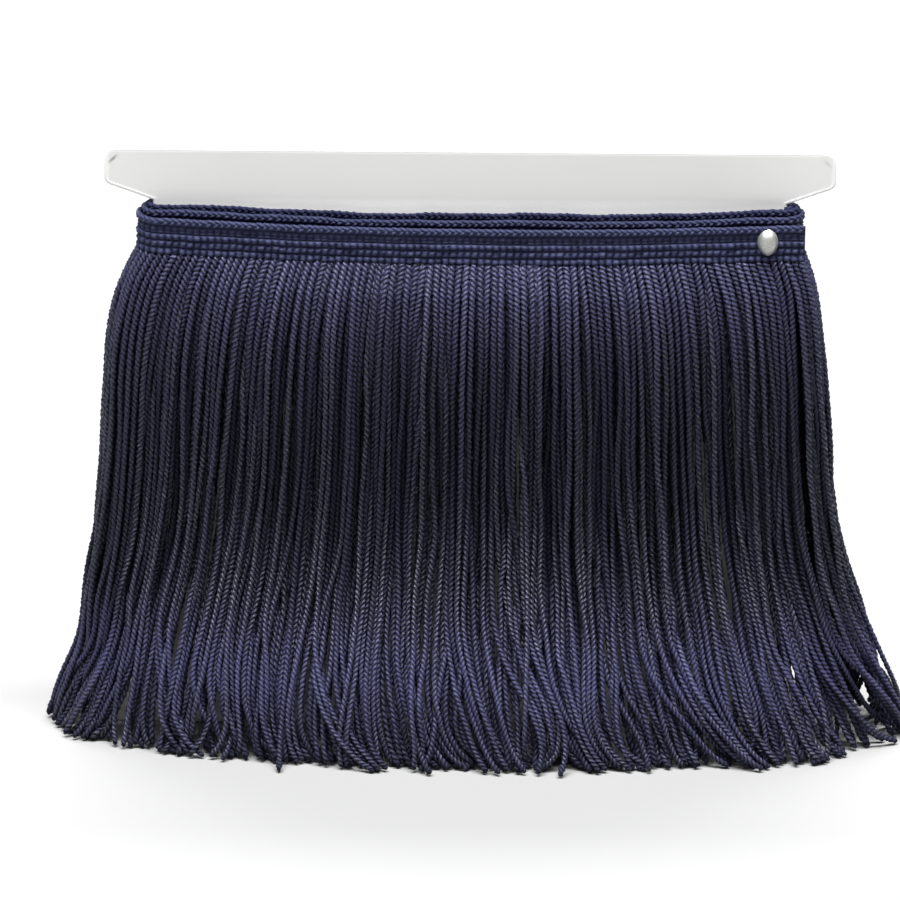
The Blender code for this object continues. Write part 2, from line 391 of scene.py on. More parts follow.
def makeCard(values, material):
    low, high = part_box("card")
    middle = (low + high) / 2
    middle.x -= values["wider"]
    halfWidth = high.x + values["wider"]
    neckTop = high.z - values["headSide"] - values["shoulderDrop"]
    neckSize = (2 * values["neckHalfWidth"], high.y - low.y, 2 * (neckTop - middle.z))
    bpy.ops.object.select_all(action="DESELECT")
    bpy.ops.mesh.primitive_cube_add(size=1.0, location=middle)
    card = bpy.context.object
    bpy.ops.object.mode_set(mode="EDIT")
    bpy.ops.transform.resize(value=neckSize, center_override=middle)
    for up in (1, -1):
        pick("FACE", lambda face: face.normal.z * up > 0.9 and face.calc_center_median().z * up > 0.05)
        shoulder = {"value": (0, 0, up * values["shoulderDrop"])}
        bpy.ops.mesh.extrude_region_move(TRANSFORM_OT_translate=shoulder)
        widen = (halfWidth / values["neckHalfWidth"], 1, 1)
        bpy.ops.transform.resize(value=widen, center_override=middle)
        side = {"value": (0, 0, up * values["headSide"])}
        bpy.ops.mesh.extrude_region_move(TRANSFORM_OT_translate=side)
    ends = high.z - middle.z
    corners = ((ends, values["cornerRadius"], 8), (ends - values["headSide"], values["shoulderRadius"], 5))
    for height, radius, segments in corners:
        pick("EDGE", lambda edge: cornerEdge(edge, height, halfWidth))
        bpy.ops.mesh.bevel(offset=radius, segments=segments, affect="EDGES")
    pick("FACE", lambda face: abs(face.normal.y) > 0.999)
    bpy.ops.mesh.dissolve_faces()
    pick("EDGE", lambda edge: abs(edge.verts[0].co.y - edge.verts[1].co.y) < 1e-6)
    bpy.ops.mesh.bevel(offset=values["edgeRadius"], segments=4, affect="EDGES")
    pick("FACE", lambda face: abs(face.normal.y) > 0.999)
    bpy.ops.mesh.inset(thickness=values["rimWidth"], depth=0.0)
    bpy.ops.mesh.inset(thickness=values["grooveWidth"], depth=-values["grooveDepth"])
    bpy.ops.mesh.inset(thickness=values["grooveWidth"], depth=values["grooveDepth"] / 2)
    bpy.ops.mesh.inset(thickness=values["paleWidth"], depth=0.0)
    bpy.ops.object.mode_set(mode="OBJECT")
    bpy.ops.object.transform_apply(location=True, rotation=True, scale=True)
    bpy.ops.object.shade_smooth_by_angle(angle=math.radians(25))
    # rim marks all but the two broad faces, where the painted edge highlight goes
    rim = np.ones(len(card.data.vertices))
    for face in sorted(card.data.polygons, key=lambda polygon: polygon.area)[-2:]:
        rim[list(face.vertices)] = 0
    card.data.attributes.new("rim", "FLOAT", "POINT").data.foreach_set("value", rim)
    card.name = "winding_card"
    card.data.materials.append(material)
    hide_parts("card")
    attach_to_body(card, "root")


def cornerEdge(edge, height, side):
    # an edge from front to back, this far from the card's middle height, on the card's side
    a, b = (v.co for v in edge.verts)
    across = abs(a.y - b.y) > 0.001 and abs(a.x - b.x) < 1e-5
    return across and abs(abs(a.z) - height) < 1e-4 and abs(abs(a.x) - side) < 1e-4


stud = {
    "rimHeight": 0.0005,
    "rimWider": 1.10,
    "lowerNarrower": 0.26,  # the oval is narrower at its foot
}


def makeStud(values, material):
    low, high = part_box("stud")
    middle = Vector(((low.x + high.x) / 2, high.y, (low.z + high.z) / 2))
    half = Vector(((high.x - low.x) / 2, high.y - low.y, (high.z - low.z) / 2))
    rim = values["rimWider"]
    bpy.ops.object.select_all(action="DESELECT")
    bpy.ops.mesh.primitive_uv_sphere_add(segments=48, ring_count=24, radius=1.0, location=middle)
    dome = bpy.context.object
    bpy.ops.object.mode_set(mode="EDIT")
    size = (half.x / rim, half.y, half.z / rim)
    bpy.ops.transform.resize(value=size, center_override=middle)
    bpy.ops.mesh.select_all(action="SELECT")
    cut = middle + Vector((0, -values["rimHeight"], 0))
    bpy.ops.mesh.bisect(plane_co=cut, plane_no=(0, 1, 0), clear_outer=True)
    bpy.ops.mesh.extrude_region_move(TRANSFORM_OT_translate={"value": (0, 0, 0)})
    bpy.ops.transform.resize(value=(rim, 1, rim), center_override=cut)
    back = {"value": (0, values["rimHeight"], 0)}
    bpy.ops.mesh.extrude_region_move(TRANSFORM_OT_translate=back)
    bpy.ops.mesh.fill()
    bpy.ops.object.mode_set(mode="OBJECT")
    bpy.ops.object.transform_apply(location=True, rotation=True, scale=True)
    for vertex in dome.data.vertices:
        below = max(0.0, (middle.z - vertex.co.z) / half.z)
        vertex.co.x = middle.x + (vertex.co.x - middle.x) * (1 - values["lowerNarrower"] * below ** 2)
    bpy.ops.object.shade_smooth_by_angle(angle=math.radians(40))
    dome.name = "domed_stud"
    dome.data.materials.append(material)
    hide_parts("stud")
    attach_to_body(dome, "root")


# The tape's winding, from its free end at the front right: left along the front, round the
# left end, right along the back and round the right end, each turn nearer to the card
winding = {
    "neckHalfWidth": 0.1015,
    "outerOffset": 0.0092,
    "turnPitch": 0.0022,
    "endSlack": 0.0005,  # how much further off the card's ends each turn stands
    "turns": 3.0,
    "straightShare": 0.45,
    "freeEnd": 0.0085,
    "tailPhase": 0.02,  # how far before turn 0 the free end's cords count
    "outerTurn": 1.02,  # where the outer piece of tape ends
    "stitch": 0.00235,
    "tapeHeight": 0.0125,
    "tops": (
        # turn, height of the top edge at the card's ends, and at its middle
        (0.2, 0.1812, 0.1789),
        (1.2, 0.1838, 0.1812),
        (2.2, 0.1854, 0.1830),
    ),
    "unevenTop": 0.00022,
}


def fromTable(table, at):
    # the second number of a table's rows, at these values of the first
    return np.interp(at, *np.array(table).T)


def unit(vectors):
    return vectors / np.linalg.norm(vectors, axis=-1, keepdims=True)


def windingLine(values):
    # turn, x, y, outward x and y, and the distance from the free end, along the whole tape
    share = values["straightShare"]
    turn = np.linspace(0, values["turns"], 12001)
    neck = values["neckHalfWidth"] + values["endSlack"] * turn
    offset = values["outerOffset"] - values["turnPitch"] * turn
    half = turn % 0.5
    side = np.where(turn % 1.0 < 0.5, 1.0, -1.0)
    angle = np.pi * np.clip((half - share) / (0.5 - share), 0.0, 1.0)
    straight = half < share
    outX = np.where(straight, 0.0, -side * np.sin(angle))
    outY = np.where(straight, -side, -side * np.cos(angle))
    x = np.where(straight, side * neck * (1 - 2 * half / share), -side * neck + offset * outX)
    y = np.where(straight, -side * offset, offset * outY)
    tail = np.linspace(values["freeEnd"], 0, 40, endpoint=False)
    turn, y, outX, outY = (np.concatenate([np.full(len(tail), a[0]), a]) for a in (turn, y, outX, outY))
    x = np.concatenate([x[0] + tail, x])
    distance = np.concatenate([[0.0], np.cumsum(np.hypot(np.diff(x), np.diff(y)))])
    return turn, x, y, outX, outY, distance


def tapeAt(line, distance):
    # turn, x, y and outward direction at these distances along the tape
    turn, x, y, outX, outY = (np.interp(distance, line[5], a) for a in line[:5])
    length = np.hypot(outX, outY)
    return turn, x, y, outX / length, outY / length


def tapeTop(values, turn, x, distance):
    # height of the tape's top edge, which drops from turn to turn and sags between the ends
    turns, ends, middle = (np.array(a) for a in zip(*values["tops"]))
    atEnds = np.interp(turn, turns, ends)
    atMiddle = np.interp(turn, turns, middle)
    sag = np.clip(1 - (x / values["neckHalfWidth"]) ** 2, 0, 1)
    wave = np.sin(distance * 71.0) + 0.6 * np.sin(distance * 173.0 + 1.0) + 0.3 * np.sin(distance * 401.0)
    return atEnds + (atMiddle - atEnds) * sag + values["unevenTop"] * wave * np.clip(turn, 0.3, 1.2)


def addTubes(name, rings, along, attributes, material):
    # closed tubes in one mesh; rings holds tube, level and side, along each level's distance
    tubes, levels, sides, _ = rings.shape
    index = np.arange(tubes * levels * sides).reshape(tubes, levels, sides)
    near, far = index[:, :-1], index[:, 1:]
    quads = np.stack([near, np.roll(near, -1, 2), np.roll(far, -1, 2), far], axis=-1)
    caps = np.concatenate([index[:, 0, ::-1], index[:, -1]])
    corners = np.concatenate([quads.ravel(), caps.ravel()]).astype(np.int32)
    quadCount = quads.size // 4
    starts = np.concatenate([np.arange(quadCount) * 4, quadCount * 4 + np.arange(len(caps)) * sides])
    mesh = bpy.data.meshes.new(name)
    mesh.vertices.add(index.size)
    mesh.vertices.foreach_set("co", rings.astype(np.float32).ravel())
    mesh.loops.add(len(corners))
    mesh.loops.foreach_set("vertex_index", corners)
    mesh.polygons.add(len(starts))
    mesh.polygons.foreach_set("loop_start", starts.astype(np.int32))
    mesh.update(calc_edges=True)
    mesh.shade_smooth()
    u = np.broadcast_to(np.arange(sides) / 4, near.shape)  # half a unit to each ply
    v = np.broadcast_to(along[:, :-1, None], near.shape)
    w = np.broadcast_to(along[:, 1:, None], near.shape)
    places = np.stack([u, v, u + 0.25, v, u + 0.25, w, u, w], axis=-1).reshape(-1, 2)
    capPlaces = np.zeros((caps.size, 2))
    yarn = mesh.uv_layers.new(name="yarn")
    yarn.uv.foreach_set("vector", np.concatenate([places, capPlaces]).astype(np.float32).ravel())
    for label, numbers in attributes.items():
        filled = np.broadcast_to(numbers, index.shape).astype(np.float32)
        mesh.attributes.new(label, "FLOAT", "POINT").data.foreach_set("value", filled.ravel())
    mesh.materials.append(material)
    return addObject(name, mesh)


# Header tape: a smooth row under the chain edge, then three rows of stitches
tape = {
    "halfThickness": 0.00062,
    "rows": (
        # distance below the top edge, how far it stands out, how deep the gaps between stitches are
        (0.0, -0.0002, 0.0), (0.0007, 0.0, 0.0), (0.0015, 0.0001, 0.0),
        (0.0023, 0.0, 0.0), (0.0026, -0.0004, 0.0), (0.0031, -0.0001, 0.3),
        (0.0038, 0.0001, 0.7), (0.0042, -0.0003, 0.2), (0.0046, 0.0001, 0.7),
        (0.0051, -0.0001, 0.3), (0.0053, -0.0004, 0.0), (0.0056, 0.0003, 0.5),
        (0.0062, 0.0006, 1.0), (0.0068, 0.0005, 1.0), (0.0072, 0.0001, 0.5),
        (0.0076, -0.0004, 0.0), (0.008, 0.0001, 0.5), (0.0085, 0.0005, 1.0),
        (0.0092, 0.0005, 1.0), (0.0097, 0.0001, 0.5), (0.0101, -0.0004, 0.0),
        (0.0104, 0.0001, 0.6), (0.0109, 0.0005, 1.0), (0.0116, 0.0006, 1.0),
        (0.0122, 0.0003, 1.0), (0.0126, -0.0002, 0.5),
    ),
    "backRows": (0.0126, 0.0085, 0.0040, 0.0004),  # distance below the top edge
    "gapDepth": 0.0008,
    "gapFrom": 0.20,  # share of half a stitch that stands out in full
    "gapCurve": 1.2,
    "lean": ((0.0053, 0.0), (0.0076, 0.25), (0.0101, 0.0), (0.0126, 0.0)),  # in stitches, by distance down
    "relief": 0.0009,  # from the darkest to the palest yarn: painted shade down in the gaps, painted light where it stands out
    "flatTone": 0.41,  # how pale it is where nothing stands out
    "paler": ((0.0026, 0.0), (0.0030, 0.24), (0.0051, 0.24), (0.0053, 0.0)),  # the smooth row
    "seed": 7,
    "uneven": 0.00017,  # from stitch to stitch
    "innerRows": 8,  # how many rows the hidden inner turns keep
    "steps": (6, 3),  # to a stitch, on the outer and the inner piece
}


def tapePiece(name, line, first, last, rows, steps, values, material):
    # one stretch of the tape, in relief on its outer face
    distance = np.arange(first, last, winding["stitch"] / steps)
    turn, x, y, outX, outY = tapeAt(line, distance)
    top = tapeTop(winding, turn, x, distance)
    drop, stand, gap = (np.array(a)[None, :] for a in zip(*rows))
    leaning = distance[:, None] / winding["stitch"] + fromTable(values["lean"], drop)
    phase = np.abs(2 * (leaning % 1.0) - 1)
    between = np.clip((phase - values["gapFrom"]) / (1 - values["gapFrom"]), 0, 1) ** values["gapCurve"]
    stitches = (distance / winding["stitch"]).astype(int)
    rng = np.random.default_rng(values["seed"])
    uneven = rng.normal(0, values["uneven"], (stitches[-1] + 1, len(rows)))[stitches]
    outer = values["halfThickness"] + stand + uneven * gap - values["gapDepth"] * gap * between
    inner = np.tile(values["backRows"], (len(distance), 1))
    reach = np.concatenate([outer, np.full(inner.shape, -values["halfThickness"])], axis=1)
    depth = np.concatenate([np.broadcast_to(drop, outer.shape), inner], axis=1)
    columns = (x[:, None] + reach * outX[:, None], y[:, None] + reach * outY[:, None], top[:, None] - depth)
    rings = np.stack(columns, axis=-1)[None]
    # painted light and shade: paler where the yarn stands out, darker down in the gaps and on the inner face
    ridge = (reach - values["halfThickness"]) / values["relief"] + values["flatTone"]
    ridge = np.clip(ridge + fromTable(values["paler"], depth), 0, 1)[None]
    return addTubes(name, rings, distance[None], {"ridge": ridge}, material)


# The plaited edge along the top of every turn: three strands, one crossing to a stitch
chain = {
    "strands": 3,
    "strandRadius": 0.00060,
    "halfHeight": 0.00072,  # how far a strand's middle swings up and down
    "halfDepth": 0.00042,  # how far it passes over and under the others
    "below": 0.0012,  # the plait's middle, under the tape's top edge
    "sides": 6,
    "stepsToStitch": 3,
    "standsOut": 0.0003,
    "uneven": 0.16,
    "unevenWaves": (190.0, 433.0, 811.0),
    "lit": ((0.9, 0.15), (1.1, -0.05), (1.9, -0.05), (2.1, -0.60)),  # turn, how lit the yarn is there: painted shade on the inner turns
}


def makeChain(line, values, material):
    stitch = winding["stitch"]
    distance = np.arange(0.0004, line[5][-1], stitch / values["stepsToStitch"])
    turn, x, y, outX, outY = tapeAt(line, distance)
    z = tapeTop(winding, turn, x, distance) - values["below"]
    drift = sum(np.sin(wave * distance + wave) for wave in values["unevenWaves"]) * values["uneven"]
    middle = np.stack([x, y, z], axis=1)
    outward = np.stack([outX, outY, np.zeros(len(x))], axis=1)
    lit = fromTable(values["lit"], turn)
    strands, ridges = [], []
    count = values["strands"]
    for k in range(count):
        phase = 2 * np.pi * (distance / (count * stitch) + k / count) + drift
        out = values["halfDepth"] * np.sin(2 * phase) + values["standsOut"]
        up = values["halfHeight"] * np.sin(phase) * (1 + 0.5 * drift)
        course = middle + out[:, None] * outward
        course[:, 2] += up
        tangent = unit(np.gradient(course, axis=0))
        across = unit(np.cross(outward, tangent))
        other = np.cross(tangent, across)
        around = (np.arange(values["sides"]) * 2 * np.pi / values["sides"])[None, :, None]
        ring = np.cos(around) * other[:, None] + np.sin(around) * across[:, None]
        strands.append(course[:, None] + ring * values["strandRadius"])
        # painted light: paler where a strand passes over the others and on its outward side
        facing = out[:, None] / values["halfDepth"] * 0.25 + np.cos(around[..., 0]) * 0.3
        ridges.append(np.clip(lit[:, None] + facing, 0, 1))
    along = np.tile(distance * 1000, (count, 1))
    piece = addTubes("header_chain", np.array(strands), along, {"ridge": np.array(ridges)}, material)
    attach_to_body(piece, "root")
    return piece


# Cords of the fringe
cords = {
    "radiusTop": 0.00112,
    "radiusEnd": 0.00106,
    "valley": 0.74,
    "twist": (
        # for each turn: share of the length, how tight the twist is there
        ((0.0, 1.15), (0.12, 1.12), (0.25, 1.0), (0.50, 1.0), (0.65, 1.08), (1.0, 1.10)),
        ((0.0, 0.85), (0.30, 0.85), (0.38, 1.0), (0.65, 1.08), (1.0, 1.10)),
        ((0.0, 0.5), (0.30, 0.5), (0.38, 1.0), (0.65, 1.08), (1.0, 1.10)),
    ),
    "wider": (
        # share of the length, how wide the cord is there
        (0.0, 0.9), (0.004, 1.26), (0.03, 1.22), (0.12, 1.15), (0.3, 1.0),
        (0.974, 1.0), (0.986, 1.16), (0.996, 1.0), (1.0, 0.45),
    ),
    "sizeChange": 0.035,  # from cord to cord
    "turnWider": (1.0, 1.0, 1.14),  # the third turn closes the gaps between the others
    "turnPaintedLight": (1.0, 0.78, 0.50),  # how much of the painted light each turn keeps; the inner turns are left in painted shade
    "paintedLightChange": (0.7, 1.5),  # from cord to cord, as a power
    "otherHand": 0.33,  # share of the cords that twist the other way
    "length": 0.178,
    "pointSpacing": 0.0020,
    "levels": (24, 26, 0.35),  # how many above and below this share of the root's height
    "paintedLight": (
        # share of the root's height, how much painted light the yarn gets there: lit where the cords slope
        # out under the tape and at the flare, in painted shade down the waist and towards the floor
        (1.00, 0.82), (0.93, 0.77), (0.80, 0.38), (0.65, 0.11), (0.46, 0.03),
        (0.38, 0.02), (0.34, 0.09), (0.30, 0.29), (0.22, 0.87), (0.16, 1.00),
        (0.10, 0.80), (0.04, 0.58), (0.00, 0.50),
    ),
    "shade": (
        # share of the length, how light the yarn is there: painted shade lower down the waist and at the tips
        (0.4, 1.0), (0.5, 0.84), (0.62, 0.75), (0.72, 1.0),
        (0.97, 1.0), (0.985, 0.45), (1.0, 0.15),
    ),
}

# How far a cord has moved outwards at each height, as a share of its whole spread
spread = (
    # share of the root's height, share of the spread
    (1.0, 0.0), (0.983, 0.07), (0.931, 0.165), (0.879, 0.215),
    (0.815, 0.255), (0.75, 0.28), (0.655, 0.304), (0.529, 0.35),
    (0.402, 0.426), (0.339, 0.5), (0.275, 0.595), (0.211, 0.69),
    (0.148, 0.795), (0.085, 0.91), (0.035, 0.985), (0.0, 1.0),
)

# The same from front to back: out over the inner turns, then straight down, then a flare
spreadDepth = (
    (1.0, 0.0), (0.983, 0.08), (0.95, 0.17), (0.9, 0.225),
    (0.83, 0.235), (0.7, 0.2), (0.55, 0.15), (0.45, 0.145),
    (0.4, 0.175), (0.35, 0.255), (0.3, 0.385), (0.25, 0.53),
    (0.2, 0.675), (0.15, 0.805), (0.1, 0.9), (0.05, 0.965),
    (0.0, 1.0),
)

# Where each turn's cords meet the floor, and how they gather there
layers = (
    # half width, half depth, corners at the right and at the left, sweep, clumping, parting
    (0.1450, 0.0440, 0.1405, 0.1360, 0.0095, 1.00, 1.0),
    (0.1443, 0.0427, 0.1400, 0.1355, 0.0045, 0.60, 1.0),
    (0.1425, 0.0400, 0.1385, 0.1340, 0.0010, 0.00, 0.0),
)

gathering = {
    "seed": 11,
    "ovalPowers": (1.95, 2.2),  # of the left and the right half: the higher, the squarer
    "sizes": (1, 2, 3, 4, 6),
    "sizeShares": (0.10, 0.24, 0.28, 0.22, 0.16),
    "middleX": 0.0030,
    "widest": (-0.1385, 0.1462),  # a cord beyond these is drawn in again
    "drawnIn": 0.75,
    "endsFrom": 0.085,  # cords rooted beyond this x hang at an end
    "endsFade": 0.02,
    "endShift": (
        # share of the root's height, how much further out the cords at the left and right end hang
        (0.0, 0.0012, 0.0015), (0.05, -0.0008, 0.002),
        (0.12, -0.0046, 0.0012), (0.17, -0.0052, -0.0002),
        (0.22, -0.0034, -0.001), (0.28, -0.001, -0.0016),
        (0.45, 0.0006, -0.0018), (0.8, 0.0018, -0.002),
        (0.9, 0.0012, -0.0012), (1.0, 0.0, 0.0),
    ),
    "closer": (0.30, 0.80),  # how near a clump's tips come to each other
    "sweepWaves": ((0.060, 0.0060), (0.027, 0.0035)),  # length of a wave and its sweep
    "sweepBySide": ((-0.13, -0.6), (-0.09, 0.4), (0.0, 1.0)),
    "sweepChange": 0.0030,
    "tipChange": 0.0009,
    "reach": (0.94, 1.02),
    "reachChange": 0.05,
    "reachCalm": (0.98, 0.8),  # what an inner turn's reach tends to, and how much
    "bendHeight": (0.030, 0.055),
    "bendCurve": 1.6,
    "curl": 0.0035,  # how far a clump's tips may turn aside again, near the floor
    "partings": (
        # where the front cords part into a hollow and meet again at the tips: x, and how wide
        (-0.093, 0.012), (0.001, 0.011), (0.0242, 0.014), (0.0513, 0.015),
    ),
    "partingReach": 0.010,
    "split": (0.1215, 0.0050, 0.016),  # where the tips stay apart: x, half width, reach
    "frontFrom": -0.015,  # the y that a front tip is in front of
    "forward": ((0.090, 0.0), (0.108, 0.0060), (0.119, 0.0075), (0.122, 0.0)),  # front tips: x, how far
    "onFloor": 0.006,
    "wave": (0.0019, 0.0015),  # along the tape, and out from it
    "waveTop": 1.3,  # share of the wave, less that of the height
    "recede": 0.0013,  # how far cords stand before or behind their neighbours
    "recedeAt": ((0, 0), (0.1, 0.5), (0.3, 1), (0.65, 1), (0.85, 0.5), (1, 0)),  # share of the height
    "calmer": (1.0, 0.8, 0.5),  # how much of these each turn's cords take
}

# Single cords that bow out from the others
strays = (
    # turn, share of the turn, share of the height, stretch, how far
    (0, 0.474, 0.36, 0.075, 0.0018),
    (0, 0.973, 0.33, 0.060, 0.0010),
)


def oval(halfWidth, halfDepth):
    # a flattened oval on the floor, from +X anticlockwise, with the distance round it
    angles = np.linspace(0, 2 * np.pi, 1441)
    left, right = gathering["ovalPowers"]
    power = 2 / np.where(np.cos(angles) < 0, left, right)
    x = halfWidth * np.sign(np.cos(angles)) * np.abs(np.cos(angles)) ** power
    y = halfDepth * np.sign(np.sin(angles)) * np.abs(np.sin(angles)) ** power
    along = np.concatenate([[0.0], np.cumsum(np.hypot(np.diff(x), np.diff(y)))])
    return x, y, along


def onOval(at, shape):
    # x and y at these distances round the oval
    x, y, along = shape
    at = at % along[-1]
    return np.stack([np.interp(at, along, x), np.interp(at, along, y)], axis=1)


def frontDistance(place, shape):
    # distance round the oval to this x on its front
    x, _, along = shape
    half = len(x) // 2
    return np.interp(place, x[half:], along[half:])


def tipDistances(phase, layer, shape):
    # distance round the oval for cords at these shares of a turn
    right, left = layers[layer][2:4]
    x, _, along = shape
    back = slice(0, len(x) // 2 + 1)
    frontRight, frontLeft = frontDistance((right, -left), shape)
    backLeft, backRight = np.interp((left, -right), -x[back], along[back])
    share = winding["straightShare"]
    stops = (-winding["tailPhase"], share, 0.5, 0.5 + share, 1.0)
    return np.interp(phase, stops, (frontRight, frontLeft, backLeft, backRight, frontRight - along[-1]))


def gatherTips(even, layer, shape, rng):
    # draws neighbouring cords into clumps. Returns their tips, where each bends, and its curl
    values = gathering
    x, _, along = shape
    sweep, clumping, parting = layers[layer][4:]
    count = len(even)
    splitAt, splitWide, splitReach = values["split"]
    calmReach, calm = values["reachCalm"]
    starts = rng.uniform(0, 2 * np.pi, len(values["sweepWaves"]))
    at, reach, bend, curl = (np.empty(count) for _ in range(4))
    first = 0
    while first < count:
        size = rng.choice(values["sizes"], p=values["sizeShares"])
        group = slice(first, min(first + size, count))
        middle = even[group].mean()
        closer = 1 - clumping * (1 - rng.uniform(*values["closer"]))
        side = np.interp(middle % along[-1], along, x)
        shift = sweep * fromTable(values["sweepBySide"], side)
        for (length, amount), start in zip(values["sweepWaves"], starts):
            shift += clumping * amount * np.sin(2 * np.pi * middle / length + start)
        shift += clumping * rng.normal(0, values["sweepChange"])
        away = middle % along[-1] - frontDistance(splitAt, shape)
        shift += clumping * splitWide * np.sign(away) * np.exp(-((away / splitReach) ** 2))
        members = even[group]
        at[group] = middle + (members - middle) * closer + shift
        at[group] += rng.normal(0, values["tipChange"], len(members))
        change = values["reachChange"]
        reach[group] = rng.uniform(*values["reach"]) + rng.uniform(-change, change, len(members))
        reach[group] += (calmReach - reach[group]) * calm * (1 - clumping)
        bend[group] = rng.uniform(*values["bendHeight"])
        curl[group] = clumping * rng.normal(0, values["curl"])
        for place, wide in values["partings"]:
            away = (middle + shift) % along[-1] - frontDistance(place, shape)
            near = parting * wide * np.exp(-((away / values["partingReach"]) ** 2))
            curl[group] += near * np.sign(away)
        first += size
    tips = onOval(at, shape) * reach[:, None]
    tips[:, 0] += values["middleX"]
    further = fromTable(values["forward"], tips[:, 0])
    tips[:, 1] -= np.where(tips[:, 1] < values["frontFrom"], further, 0)
    return tips, bend, curl


def cordPaths(line, layer, rng):
    # each cord of one turn: points from root to tip, share of the turn, and its tone with painted shade
    shape = oval(*layers[layer][:2])
    stitch = winding["stitch"]
    everyStitch = np.arange(stitch / 2, line[5][-1], stitch)
    turn = tapeAt(line, everyStitch)[0]
    distance = everyStitch[(turn >= layer) & (turn < layer + 1)]
    turn, x, y, outX, outY = tapeAt(line, distance)
    rootZ = tapeTop(winding, turn, x, distance) - winding["tapeHeight"]
    phase = turn - layer
    tail = distance < winding["freeEnd"]
    phase[tail] = -winding["tailPhase"] * (1 - distance[tail] / winding["freeEnd"])
    even = tipDistances(phase, layer, shape)
    evenTips = onOval(even, shape)
    tips, bend, curl = gatherTips(even, layer, shape, rng)
    above, below, finer = cords["levels"]
    levels = np.concatenate([np.linspace(1, finer, above), np.linspace(finer, 0, below)[1:]])
    tables = (np.array(a).T * [[-1], [1]] for a in (spread, spreadDepth))
    outwards = np.stack([np.interp(-levels, *table) for table in tables], axis=1)
    roots = np.stack([x, y], axis=1)
    z = np.maximum(rootZ[:, None] * levels, cords["radiusEnd"])
    late = np.clip(1 - z / bend[:, None], 0, 1) ** gathering["bendCurve"]
    flat = roots[:, None] + (evenTips - roots)[:, None] * outwards[None]
    flat += (tips - evenTips)[:, None] * late[:, :, None]
    aside = curl[:, None] * (late - late**3)
    flat += aside[..., None] * np.stack([-outY, outX], axis=1)[:, None]
    heights, *shifts = (np.array(a) for a in zip(*gathering["endShift"]))
    for side, shift in zip((-1, 1), shifts):
        nearEnd = np.clip((side * x - gathering["endsFrom"]) / gathering["endsFade"], 0, 1)[:, None]
        flat[..., 0] += side * nearEnd * np.interp(levels, heights, shift)
    outward = np.stack([outX, outY], axis=1)[:, None]
    calmer = gathering["calmer"][layer]
    wave = wander(rng, len(distance), levels) * np.array(gathering["wave"])
    wave = wave * (gathering["waveTop"] - levels)[None, :, None] * calmer
    wave = wave[..., :1] * outward[..., ::-1] * [-1, 1] + wave[..., 1:] * outward
    stands = rng.normal(0, 1, len(distance))
    # a cord's own tone, with painted light on cords that stand forward and painted shade on cords set back
    toneAndShade = 1 / (1 + np.exp(-1.7 * stands))
    recede = stands[:, None] * gathering["recede"] * calmer
    recede = recede * fromTable(gathering["recedeAt"], levels)
    path = np.concatenate([flat + wave + recede[..., None] * outward, z[:, :, None]], axis=2)
    heading = path[:, -1] - path[:, -4]
    heading[:, 2] = 0
    heading /= np.linalg.norm(heading, axis=1)[:, None] + 1e-9
    onFloor = rng.uniform(0, gathering["onFloor"], len(distance))
    extra = path[:, -1:] + heading[:, None] * onFloor[:, None, None] * np.array([0.5, 1.0])[None, :, None]
    path = np.concatenate([path, extra], axis=1)
    left, right = gathering["widest"]
    path[..., 0] -= gathering["drawnIn"] * (path[..., 0] - np.clip(path[..., 0], left, right))
    for strayLayer, share, height, stretch, far in strays:
        if strayLayer == layer:
            stray = np.abs(phase - share).argmin()
            bow = far * np.exp(-(((z[stray] / rootZ[stray]) - height) / stretch) ** 2)
            path[stray, :len(levels), :2] += bow[:, None] * [outX[stray], outY[stray]]
    for _ in range(4):
        path[:, 1:-1] = 0.5 * path[:, 1:-1] + 0.25 * (path[:, :-2] + path[:, 2:])
    return path, phase, toneAndShade


def wander(rng, count, levels):
    # a slow sideways drift for each cord, none at its root
    low = rng.normal(0, 1, (count, 3, 2))
    start = rng.uniform(0, 2 * np.pi, (count, 3))
    waves = np.array([3.0, 7.0, 15.0])
    angle = start[:, None, :] + waves[None, None, :] * (1 - levels)[None, :, None] * 2
    still = np.sin(start)[:, None, :]
    return ((np.sin(angle) - still)[..., None] * low[:, None] / waves[None, None, :, None] ** 0.5).sum(2)


def evenly(path, count):
    # the same paths through count points an equal distance apart
    steps = np.linalg.norm(np.diff(path, axis=1), axis=2)
    along = np.concatenate([np.zeros((len(path), 1)), np.cumsum(steps, axis=1)], axis=1)
    made = np.empty((len(path), count, 3))
    for k, (places, distance) in enumerate(zip(path, along)):
        wanted = np.linspace(0, distance[-1], count)
        for axis in range(3):
            made[k, :, axis] = np.interp(wanted, distance, places[:, axis])
    return made


def curved(points, shares):
    # smooth curves through the points, at these shares of the way from first to last
    before = 2 * points[:, :1] - points[:, 1:2]
    after = 2 * points[:, -1:] - points[:, -2:-1]
    padded = np.concatenate([before, points, after], axis=1)
    at = shares * (points.shape[1] - 1)
    k = np.minimum(at.astype(int), points.shape[1] - 2)
    t = (at - k)[None, :, None]
    a, b, c, d = (padded[:, k + shift] for shift in range(4))
    return 0.5 * (2 * b + (c - a) * t + (2 * a - 5 * b + 4 * c - d) * t**2 + (3 * b - a - 3 * c + d) * t**3)


settling = {
    "steps": 90,
    "pairsEvery": 9,
    "firstPoint": 6,  # points nearer to the root stay where they are
    "freeOver": 8,  # so many points on, they move freely
    "thickness": 0.92,  # share of a cord's own, since yarn gives way
    "pairReach": 1.5,
    "push": 0.35,
    "smooth": 0.22,
    "return": 0.015,
}


def nearPairs(points, cordOf, reach):
    # pairs of points on different cords that are nearer than this
    tree = kdtree.KDTree(len(points))
    for k, place in enumerate(points):
        tree.insert(place, k)
    tree.balance()
    pairs = [
        (k, other)
        for k, place in enumerate(points)
        for _, other, _ in tree.find_range(place, reach)
        if other > k and cordOf[k] != cordOf[other]
    ]
    return np.array(pairs).T


